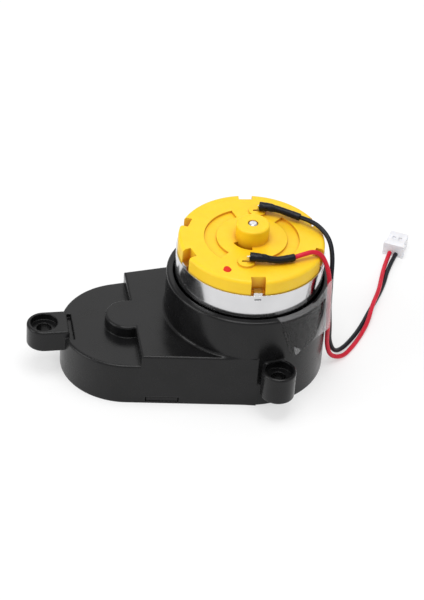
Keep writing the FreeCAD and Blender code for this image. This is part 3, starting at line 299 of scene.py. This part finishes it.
def moulded_plain(tree, dark, light, rough_low, rough_high, glow=0.0):
    """Plain moulded plastic with flow clouding and a fine skin."""
    return {
        "Base Color": ramp(tree, noise(tree, 3.0, detail=4.0), [(0.3, dark), (0.7, light)]),
        "Roughness": remap(tree, noise(tree, 0.8, detail=4.0), 0.3, 0.7, rough_low, rough_high),
        "Subsurface Weight": glow,
        "Subsurface Radius": (1.0, 0.9, 0.8),
        "Subsurface Scale": 0.0006,
        "Normal": bump(tree, noise(tree, 0.35, detail=2.0), 0.0012, soft_edges(tree, 0.08)),
    }


def metal(tree, dark, light, rough_low, rough_high, grain, grain_mm=0.0008, cloud_mm=2.4):
    """Bare metal: tarnish clouds, a drawn or turned grain along one axis, and rubbed edges."""
    cloud = noise(tree, cloud_mm, detail=2.0)
    lines = noise(tree, 0.22, detail=3.0, stretch=grain)
    return {
        "Base Color": ramp(tree, cloud, [(0.3, dark), (0.7, light)]),
        "Metallic": 1.0,
        "Roughness": remap(tree, arithmetic(tree, "ADD", cloud, lines), 0.7, 1.3, rough_low, rough_high),
        "Normal": bump(tree, lines, grain_mm, soft_edges(tree, METAL_EDGE_MM)),
    }


def wire_skin(tree, dark, light):
    """PVC insulation: slight colour drift along the lead, with a waxy skin."""
    return {
        "Base Color": ramp(tree, noise(tree, 4.0, detail=3.0), [(0.3, dark), (0.7, light)]),
        "Roughness": remap(tree, noise(tree, 1.2, detail=3.0), 0.3, 0.7, 0.30, 0.46),
        "Specular IOR Level": 0.24,
        "Normal": bump(tree, noise(tree, 0.9, detail=3.0), 0.02),
    }


def shrink_sleeve(tree):
    """Shrunk tubing: blue-black, glossy on the ridges, wrinkled where it closed on the joint."""
    wrinkle = noise(tree, 1.3, detail=3.0, distortion=0.8)
    fine = noise(tree, 0.3, detail=3.0)
    return {
        "Base Color": ramp(tree, wrinkle, [(0.3, (0.003, 0.003, 0.005)), (0.75, (0.009, 0.010, 0.014))]),
        "Roughness": remap(tree, fine, 0.3, 0.7, 0.24, 0.42),
        "Specular IOR Level": 0.20,
        "Normal": bump(tree, fine, 0.006, bump(tree, wrinkle, 0.09)),
    }


def film(tree, folds=0.0):
    """Clear adhesive film: as dark as the cup where it sticks; whiter where it stands free, which is its
    haze plus a painted reflection; a painted highlight where its top folds over the rim; milky where a flap
    is folded back.
    """
    wrinkle = noise(tree, 2.6, detail=3.0, distortion=1.2)
    bubbles = specks(tree, 1.3, 0.14, 0.06)
    where = place_of(tree)
    beside = add_node(tree, "ShaderNodeVectorMath", {
        0: where, 1: (MOTOR_X * MM, 0.0, 0.0),
    }, operation="SUBTRACT").outputs["Vector"]
    flat = add_node(tree, "ShaderNodeVectorMath", {0: beside, 1: (1.0, 1.0, 0.0)}, operation="MULTIPLY")
    reach = add_node(tree, "ShaderNodeVectorMath", {0: flat.outputs["Vector"]}, operation="LENGTH")
    # Film standing free of the cup is drawn whiter: its own haze plus a painted reflection.
    free = remap(tree, reach.outputs["Value"], (CUP_SKIN + 0.12) * MM, (CUP_SKIN + 0.7) * MM, 0.0, 1.0)
    height = add_node(tree, "ShaderNodeSeparateXYZ", {"Vector": where}).outputs["Z"]
    # Painted highlight: a white band where the film crosses the top of the rim.
    rim_painted_highlight = remap(tree, height, (RIM_TOP - 0.4) * MM, (RIM_TOP - 0.1) * MM, 0.0, 0.40)
    haze = remap(tree, wrinkle, 0.35, 0.75, 0.0, 0.03, smooth=True)
    streaks = noise(tree, 0.5, detail=3.0, stretch=(1.0, 1.0, 0.25))
    patchy = arithmetic(tree, "MULTIPLY", remap(tree, streaks, 0.35, 0.65, 0.45, 1.25), folds)
    # Whiteness of the free film together with the painted highlight on the rim.
    milky_and_painted_light = arithmetic(tree, "MAXIMUM", free, rim_painted_highlight)
    marks = arithmetic(tree, "ADD", haze, arithmetic(tree, "MULTIPLY", bubbles, 0.07))
    whiteness = arithmetic(tree, "ADD", arithmetic(tree, "ADD", marks, milky_and_painted_light), patchy)
    return {
        "Base Color": ramp(tree, whiteness, [(0.0, (0.010, 0.010, 0.010)), (1.0, (0.76, 0.76, 0.77))]),
        "Roughness": remap(tree, wrinkle, 0.3, 0.7, 0.14, 0.26),
        "IOR": 1.48,
        "Alpha": 0.27,
        "Normal": bump(tree, wrinkle, 0.02),
    }


def painted_crease_shade(tree):
    """Painted shade: a dark strip laid along the crease where the film leaves the cup."""
    patches = noise(tree, 0.7, detail=3.0)
    return {
        "Base Color": ramp(tree, patches, [(0.3, (0.010, 0.011, 0.011)), (0.7, (0.030, 0.032, 0.032))]),
        "Roughness": remap(tree, patches, 0.3, 0.7, 0.45, 0.65),
        "Specular IOR Level": 0.2,
        "Alpha": remap(tree, patches, 0.3, 0.7, 0.6, 0.9),
    }


def paint(tree):
    """Red marking paint: thick in the middle, thin and uneven at its rim."""
    streaks = noise(tree, 0.5, detail=3.0)
    return {
        "Base Color": ramp(tree, streaks, [(0.3, (0.58, 0.016, 0.004)), (0.7, (0.70, 0.030, 0.008))]),
        "Roughness": remap(tree, streaks, 0.3, 0.7, 0.35, 0.50),
        "Specular IOR Level": 0.15,
        "Normal": bump(tree, streaks, 0.02),
    }


FINISHES = {
    "housing_plastic": lambda t: moulded_black(
        t, (0.0050, 0.0050, 0.0053), (0.0080, 0.0080, 0.0084), 0.20, 0.30, 0.0009, 0.42),
    "cover_plastic": lambda t: moulded_black(
        t, (0.0055, 0.0055, 0.0058), (0.0095, 0.0095, 0.0100), 0.22, 0.34, 0.0016, 0.2),
    "drive_plastic": lambda t: moulded_plain(
        t, (0.55, 0.54, 0.50), (0.68, 0.67, 0.62), 0.35, 0.5, 0.2),
    "cap_plastic": moulded_yellow,
    "gear_plastic": lambda t: moulded_plain(
        t, (0.62, 0.61, 0.56), (0.74, 0.73, 0.68), 0.32, 0.46, 0.3),
    "plug_plastic": lambda t: moulded_plain(
        t, (0.70, 0.70, 0.73), (0.80, 0.80, 0.83), 0.28, 0.42, 0.3),
    "can_steel": lambda t: metal(
        t, (0.58, 0.58, 0.59), (0.68, 0.68, 0.69), 0.10, 0.17, (0.05, 0.05, 1.0), 0.0003, cloud_mm=9.0),
    "shaft_steel": lambda t: metal(
        t, (0.58, 0.58, 0.60), (0.76, 0.76, 0.78), 0.12, 0.26, (1.0, 1.0, 0.1)),
    "screw_steel": lambda t: metal(
        t, (0.42, 0.41, 0.40), (0.62, 0.61, 0.59), 0.22, 0.40, (1.0, 1.0, 3.0)),
    "core_steel": lambda t: metal(
        t, (0.20, 0.20, 0.21), (0.36, 0.36, 0.37), 0.35, 0.55, (0.1, 0.1, 3.0)),
    "contact_metal": lambda t: metal(
        t, (0.66, 0.62, 0.50), (0.86, 0.83, 0.74), 0.18, 0.34, (1.0, 1.0, 0.3)),
    "bush_bronze": lambda t: metal(
        t, (0.34, 0.20, 0.09), (0.50, 0.31, 0.15), 0.35, 0.55, (1.0, 1.0, 1.0), 0.004),
    "winding_copper": lambda t: metal(
        t, (0.46, 0.17, 0.07), (0.68, 0.28, 0.12), 0.22, 0.38, (0.15, 0.15, 4.0), 0.01),
    "magnet_ferrite": lambda t: moulded_plain(
        t, (0.018, 0.018, 0.020), (0.040, 0.040, 0.043), 0.45, 0.65),
    "sleeve_black": shrink_sleeve,
    "wire_black": lambda t: wire_skin(t, (0.003, 0.004, 0.008), (0.007, 0.009, 0.014)),
    "wire_red": lambda t: wire_skin(t, (0.50, 0.005, 0.022), (0.64, 0.010, 0.036)),
    "clear_tape": film,
    "folded_tape": lambda t: film(t, 0.80),
    "crease_painted_shade": painted_crease_shade,
    "paint": paint,
}
SURFACES = {name: finish_surface(name + "_look", make) for name, make in FINISHES.items()}


def dress_nodes():
    """Gives every CAD node the procedural look of its material slot."""
    for part in NODES.values():
        for place in part.material_slots:
            place.material = SURFACES[place.material.name.split(".")[0]]


def settle(piece, slot_name, finish=None):
    """Dresses a new piece in the finish of its slot, or in the given finish, and lets it ride on the
    gearbox.
    """
    piece.data.materials.append(SURFACES[finish or slot_name])
    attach(piece, "gearbox")


# ---------------------------------------------------------------- leads
WIRE_RADIUS = 0.5
# Control points of the leads and the sleeves, in millimetres.
RED_ROUTE = [
    (33.4, -9.2, 33.0), (35.5, -8.8, 33.4), (37.6, -8.2, 33.5), (39.4, -8.0, 32.5),
    (40.5, -8.3, 30.6), (41.3, -8.9, 28.2), (41.6, -9.6, 25.4), (41.6, -10.2, 22.2),
    (41.9, -9.6, 18.3), (42.7, -8.2, 13.6), (43.2, -6.7, 9.2), (43.7, -5.8, 5.3),
    (44.9, -5.6, 2.1), (48.0, -4.3, 0.55), (51.0, -1.1, 0.55), (53.9, 2.9, 0.6),
    (56.4, 6.9, 1.1), (58.4, 11.8, 1.8), (61.0, 16.7, 1.8), (62.7, 21.3, 1.4),
    (64.8, 27.0, 0.8), (67.444, 32.364, 0.85),
]
BLACK_ROUTE = [
    (37.3, 4.6, 33.1), (39.6, 2.4, 33.5), (41.6, -0.3, 32.8), (42.7, -2.7, 31.5),
    (42.8, -5.4, 29.1), (42.2, -8.0, 26.0), (42.1, -9.3, 21.6), (42.6, -8.1, 17.8),
    (43.4, -6.5, 13.5), (44.1, -5.0, 9.6), (44.5, -4.2, 5.6), (45.9, -3.9, 2.0),
    (48.5, -1.6, 0.6), (51.9, 2.2, 0.55), (54.7, 6.1, 0.55), (57.5, 10.9, 0.55),
    (60.7, 16.0, 0.55), (63.4, 20.9, 0.55), (65.7, 26.6, 0.7), (68.756, 31.636, 0.85),
]
RED_SLEEVE_ROUTE = [
    (23.9, -8.8, 33.45), (26.3, -9.4, 33.5), (28.9, -9.7, 32.9), (31.2, -9.6, 32.85), (33.4, -9.2, 33.0),
]
BLACK_SLEEVE_ROUTE = [
    (29.2, 8.95, 33.43), (31.6, 8.0, 33.6), (33.7, 6.8, 33.5), (35.6, 5.6, 33.3), (37.3, 4.6, 33.1),
]


def spline_of(name, route):
    """Curve object with one open NURBS spline over the route's points."""
    curve = bpy.data.curves.new(name, "CURVE")
    curve.dimensions = "3D"
    curve.resolution_u = 16
    spline = curve.splines.new("NURBS")
    spline.points.add(len(route) - 1)
    for point, place in zip(spline.points, route):
        point.co = (*(Vector(place) * MM), 1.0)
    spline.order_u = 3
    spline.use_endpoint_u = True
    piece = bpy.data.objects.new(name, curve)
    bpy.context.scene.collection.objects.link(piece)
    return piece


def line_along(route):
    """Points along the route's smooth spline, in metres."""
    guide = spline_of("guide", route)
    line = bpy.data.meshes.new_from_object(guide)
    points = [vertex.co.copy() for vertex in line.vertices]
    bpy.data.objects.remove(guide)
    bpy.data.meshes.remove(line)
    return points


def make_lead(colour, route):
    """One lead, from its sleeve to the plug."""
    lead = spline_of(f"{colour}_lead", route)
    lead.data.bevel_depth = WIRE_RADIUS * MM
    lead.data.bevel_resolution = 8
    lead.data.use_fill_caps = True
    settle(lead, f"wire_{colour}")
    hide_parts(f"{colour}_wire")


# ---------------------------------------------------------------- sleeves, solder and dot
SLEEVE_WALL = 0.14
SLEEVE_SIDES = 40
# Share of the sleeve's length, radius in millimetres: baggy on the joint, tight on the wire.
SLEEVE_PROFILE = [
    (0.0, 0.96), (0.05, 0.94), (0.27, 0.92), (0.40, 0.76), (0.60, 0.75), (0.85, 0.80), (0.97, 0.80),
    (1.0, 0.76),
]
SLEEVE_WRINKLE = 0.045
# The baggy part's share of the length, and how wrinkled the rest is beside it.
BAGGY_SHARE = 0.4
TIGHT_WRINKLE = 0.35
# Depth and radius of the mouth's bore, in millimetres.
MOUTH = [(0.0, SLEEVE_PROFILE[0][1] - SLEEVE_WALL), (0.9, 0.52)]


def along(table, share):
    """Value at a share of a table of (share, value) pairs, by straight lines between them."""
    for (low, first), (high, second) in zip(table, table[1:]):
        if share <= high:
            return first + (second - first) * (share - low) / (high - low)
    return table[-1][1]


def new_piece(name, mesh_maker):
    """Smooth-shaded mesh object that mesh_maker(bm) fills, in metres."""
    bm = bmesh.new()
    mesh_maker(bm)
    bmesh.ops.recalc_face_normals(bm, faces=bm.faces)
    mesh = bpy.data.meshes.new(name)
    bm.to_mesh(mesh)
    bm.free()
    for face in mesh.polygons:
        face.use_smooth = True
    piece = bpy.data.objects.new(name, mesh)
    bpy.context.scene.collection.objects.link(piece)
    return piece


def bridge(bm, rings, closed=True):
    """Quads between successive rings of vertices."""
    for below, above in zip(rings, rings[1:]):
        count = len(below)
        for i in range(count if closed else count - 1):
            after = (i + 1) % count
            bm.faces.new((below[i], below[after], above[after], above[i]))


def ring_at(bm, centre, heading, radius_of):
    """Ring of vertices round a heading; radius_of(angle) is in metres."""
    side = heading.cross(Vector((0, 0, 1))).normalized()
    upward = side.cross(heading)
    ring = []
    for i in range(SLEEVE_SIDES):
        angle = math.tau * i / SLEEVE_SIDES
        reach = side * math.cos(angle) + upward * math.sin(angle)
        ring.append(bm.verts.new(centre + reach * radius_of(angle)))
    return ring


def make_sleeve(colour, route, seed):
    """Shrunk tube: baggy and wrinkled on the soldered joint, tight on the wire, open at its mouth."""
    points = line_along(route)
    lengths = [0.0]
    for first, second in zip(points, points[1:]):
        lengths.append(lengths[-1] + (second - first).length)

    def fill(bm):
        outer = []
        for index, (point, run) in enumerate(zip(points, lengths)):
            near, far = points[max(index - 1, 0)], points[min(index + 1, len(points) - 1)]
            heading = (far - near).normalized()
            share = run / lengths[-1]
            base = along(SLEEVE_PROFILE, share)
            baggy = SLEEVE_WRINKLE * (1.0 if share < BAGGY_SHARE else TIGHT_WRINKLE)

            def wavy(angle, base=base, baggy=baggy, run=run / MM):
                fold = math.sin(3 * angle + seed + 1.7 * math.sin(1.9 * run + seed))
                ripple = math.sin(5.1 * run + 2 * angle + seed)
                return (base + baggy * (0.7 * fold + 0.5 * ripple)) * MM

            outer.append(ring_at(bm, point, heading, wavy))
        heading = (points[1] - points[0]).normalized()
        inner = [
            ring_at(bm, points[0] + heading * depth * MM, heading, lambda angle: bore * MM)
            for depth, bore in MOUTH
        ]
        bridge(bm, [*reversed(inner), *outer])
        bm.faces.new(inner[-1])
        bm.faces.new(outer[-1])

    piece = new_piece(f"{colour}_boot", fill)
    settle(piece, "sleeve_black")
    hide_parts(f"{colour}_sleeve")


def make_blob(name, slot_name, centre, radii, seed, flat_below=None, finish=None):
    """Small uneven drop, such as solder or paint; radii are half its size along X, Y and Z."""

    def fill(bm):
        bmesh.ops.create_icosphere(bm, subdivisions=4, radius=1.0)
        for vertex in bm.verts:
            x, y, z = vertex.co
            swell = 1 + 0.07 * math.sin(3 * x + seed) + 0.06 * math.sin(4 * y + 2 * seed + 2 * z)
            place = Vector((x * radii[0], y * radii[1], z * radii[2])) * swell
            if flat_below is not None:
                place.z = max(place.z, flat_below)
            vertex.co = (Vector(centre) + place) * MM

    settle(new_piece(name, fill), slot_name, finish)


SOLDER_RADII = (0.55, 0.42, 0.50)
SOLDER_DEPTH = 0.25
CAP_TOP = 31.9
DOT_PLACE = (18.87, -10.69)
DOT_RADII = (0.90, 1.00, 0.12)


def make_joints():
    """Sleeves and solder on both tags, and the paint dot that marks the positive one."""
    for colour, route, seed in (("red", RED_SLEEVE_ROUTE, 0.4), ("black", BLACK_SLEEVE_ROUTE, 2.1)):
        make_sleeve(colour, route, seed)
        start, after = (Vector(point) for point in route[:2])
        centre = start + (after - start).normalized() * SOLDER_DEPTH
        make_blob(f"{colour}_solder", "contact_metal", centre, SOLDER_RADII, seed)
    dot = (*DOT_PLACE, CAP_TOP)
    make_blob("polarity_dot", "wire_red", dot, DOT_RADII, 1.3, flat_below=-0.02, finish="paint")


# ---------------------------------------------------------------- tape
TAPE_THICKNESS = 0.05
TAPE_COLUMNS = 180
TAPE_ROWS = 72
# Right end of the strip, on the leads: share of its height, angle in degrees.
TAPE_RIGHT = [
    (0.0, -29.3), (0.1, -28.8), (0.3, -29.6), (0.5, -31.0), (0.7, -32.6), (0.85, -32.4), (1.0, -31.6),
]
# Edges of the strip: angle round the motor's axis in degrees, height in millimetres.
TAPE_BOTTOM = [
    (-66.5, 11.8), (-63.5, 11.9), (-57.1, 12.6), (-50.8, 13.0), (-43.1, 13.7), (-36.5, 14.1), (-34.2, 14.2),
    (-29.7, 13.6), (0.0, 13.6),
]
TAPE_TOP = [
    (-78.7, 22.6), (-46.0, 22.7), (-42.6, 24.4), (-40.3, 25.2), (-38.6, 26.1), (-36.8, 26.9), (-35.4, 27.3),
    (0.0, 27.3),
]
# Where the film leaves the cup for the leads, and how far out it lies on them, by height.
LIFT_OFF = [
    (11.0, -62.0), (13.3, -50.6), (14.3, -44.7), (16.6, -40.4), (19.0, -37.3), (21.5, -37.2), (23.5, -42.0),
]
ON_LEADS = [(0.0, 19.2), (23.0, 19.2), (27.3, 18.8)]
LEADS_AT = -34.6
# Creases as pairs of (angle, height), with how far each stands out and how wide it is.
CREASES = [
    ((-70.0, 20.0), (-60.0, 16.0), 0.06, 0.30),
    ((-58.0, 21.5), (-52.0, 17.0), 0.07, 0.25),
    ((-47.0, 19.5), (-45.0, 17.8), 0.10, 0.22),
    ((-38.0, 16.0), (-34.5, 14.6), 0.16, 0.30),
]
# How far the film waves on the cup, and how fast it does so by height and by angle.
WAVE_RISE = 0.03
WAVE_TURNS = (0.9, 0.21)
# The top of the strip is folded over the rim, up to this angle, and lets go of it in so many degrees.
FOLD_START = 0.93
HELD_TO = -43.0
HELD_FADE = 3.5
# Height and reach of the fold, by share of its width.
FOLD_HEIGHT = [(0.0, RIM_TOP - 0.5), (0.4, RIM_TOP + 0.02), (1.0, RIM_TOP + 0.08)]
FOLD_REACH = [(0.0, CUP_SKIN), (0.4, CUP_SKIN - 0.25), (1.0, CUP_SKIN - 1.35)]
# Painted shade along the crease where the film leaves the cup, and the corners of the torn flap, as (angle,
# height).
PAINTED_SHADE_LINE = [(-38.6, 23.2), (-37.5, 21.0), (-37.4, 19.0), (-38.9, 17.7), (-40.4, 16.6), (-42.2, 15.5)]
PAINTED_SHADE_WIDTH = 0.42
FLAP_CORNERS = [(-66.0, 14.6), (-63.4, 11.9), (-59.0, 13.1)]
FLAP_STEPS = 16


def unrolled(angle, height):
    """Place on the cup's skin rolled out flat, in millimetres."""
    return Vector((math.radians(angle) * CUP_SKIN, height))


def round_motor(angle, reach, height):
    """Point at an angle in degrees and a reach in millimetres from the motor's axis, in metres."""
    turn = math.radians(angle)
    return Vector((MOTOR_X + reach * math.cos(turn), reach * math.sin(turn), height)) * MM


def crease_height(angle, height):
    """How far all creases together lift the film at a place."""
    spot = unrolled(angle, height)
    total = 0.0
    for start, end, rise, width in CREASES:
        first, second = unrolled(*start), unrolled(*end)
        run = second - first
        share = min(max((spot - first).dot(run) / run.length_squared, 0.0), 1.0)
        away = (spot - first - run * share).length
        total += rise * math.exp(-((away / width) ** 2))
    return total


def film_reach(angle, height):
    """Distance of the film from the motor's axis: on the cup, then out over both leads."""
    lift_off = along(LIFT_OFF, max(height, LIFT_OFF[0][0]))
    lifted = min(max((angle - lift_off) / (LEADS_AT - lift_off), 0.0), 1.0)
    reach = CUP_SKIN + (along(ON_LEADS, height) - CUP_SKIN) * lifted
    wave = WAVE_RISE * math.sin(WAVE_TURNS[0] * height + WAVE_TURNS[1] * angle) ** 2
    return reach + crease_height(angle, height) + wave


def fold_over_rim(angle, share, height, reach):
    """Height and reach of the film where its top is folded over the rim."""
    held = min(max((HELD_TO - angle) / HELD_FADE, 0.0), 1.0)
    fold = (share - FOLD_START) / (1 - FOLD_START)
    if fold <= 0.0:
        return height, reach
    height += (along(FOLD_HEIGHT, fold) - height) * held
    reach += (along(FOLD_REACH, fold) - reach) * held
    return height, reach


def make_strip():
    """Clear strip: flat on the cup with its top folded over the rim, then out over the leads."""

    def fill(bm):
        rows = []
        for row in range(TAPE_ROWS + 1):
            share = row / TAPE_ROWS
            left = TAPE_BOTTOM[0][0] + (TAPE_TOP[0][0] - TAPE_BOTTOM[0][0]) * share
            line = []
            for column in range(TAPE_COLUMNS + 1):
                angle = left + (along(TAPE_RIGHT, share) - left) * column / TAPE_COLUMNS
                low = along(TAPE_BOTTOM, max(angle, TAPE_BOTTOM[0][0]))
                height = low + (along(TAPE_TOP, angle) - low) * share
                height, reach = fold_over_rim(angle, share, height, film_reach(angle, height))
                line.append(bm.verts.new(round_motor(angle, reach, height)))
            rows.append(line)
        bridge(bm, rows, closed=False)

    piece = new_piece("tape_strip", fill)
    sheet = piece.modifiers.new("film", "SOLIDIFY")
    sheet.thickness = TAPE_THICKNESS * MM
    sheet.offset = 0.0
    settle(piece, "clear_tape")
    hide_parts("cover_tape")


def make_tape_marks():
    """Painted shade along the crease beside the leads, and the torn corner that curls back on itself."""
    half = math.degrees(PAINTED_SHADE_WIDTH / 2 / CUP_SKIN)

    def fill_painted_shade(bm):
        rows = []
        for angle, height in PAINTED_SHADE_LINE:
            rows.append([
                bm.verts.new(round_motor(turn, film_reach(turn, height) + TAPE_THICKNESS, height))
                for turn in (angle - half, angle, angle + half)
            ])
        bridge(bm, rows, closed=False)

    def fill_flap(bm):
        top, foot, tip = (Vector(corner) for corner in FLAP_CORNERS)
        rows = []
        for step in range(FLAP_STEPS + 1):
            toward = step / FLAP_STEPS
            line = []
            for side in range(FLAP_STEPS + 1):
                spot = top.lerp(foot, side / FLAP_STEPS).lerp(tip, toward * 0.98)
                curl = 0.10 + 0.22 * math.sin(math.pi * toward) + 0.05 * math.sin(9 * side / FLAP_STEPS)
                line.append(bm.verts.new(round_motor(spot.x, CUP_SKIN + curl, spot.y)))
            rows.append(line)
        bridge(bm, rows, closed=False)

    # Painted shade: a dark strip along the crease where the film lifts off the cup.
    settle(new_piece("tape_painted_shade", fill_painted_shade), "clear_tape", finish="crease_painted_shade")
    settle(new_piece("tape_corner", fill_flap), "clear_tape", finish="folded_tape")


# ---------------------------------------------------------------- floor
FLOOR_SIZE = 3.0
FLOOR_DROP = 0.02
FLOOR_GLOW = 0.49


def make_floor():
    """Plain pale floor, just below the object, that glows a little so that shadows stay soft."""
    mesh = bpy.data.meshes.new("floor")
    half = FLOOR_SIZE / 2
    corners = [(-half, -half, 0), (half, -half, 0), (half, half, 0), (-half, half, 0)]
    mesh.from_pydata(corners, [], [(0, 1, 2, 3)])
    floor = bpy.data.objects.new("floor", mesh)
    floor.location.z = -FLOOR_DROP * MM
    bpy.context.scene.collection.objects.link(floor)
    paper = finish_surface("paper", lambda tree: {
        "Base Color": ramp(tree, noise(tree, 60.0), [(0.3, (0.44, 0.44, 0.44)), (0.7, (0.46, 0.46, 0.46))]),
        "Roughness": 0.9,
        "Specular IOR Level": 0.1,
        "Emission Color": (1.0, 1.0, 1.0, 1.0),
        "Emission Strength": FLOOR_GLOW,
    })
    mesh.materials.append(paper)


make_camera()
make_surroundings()
make_floor()
dress_nodes()
make_lead("red", RED_ROUTE)
make_lead("black", BLACK_ROUTE)
make_joints()
make_strip()
make_tape_marks()
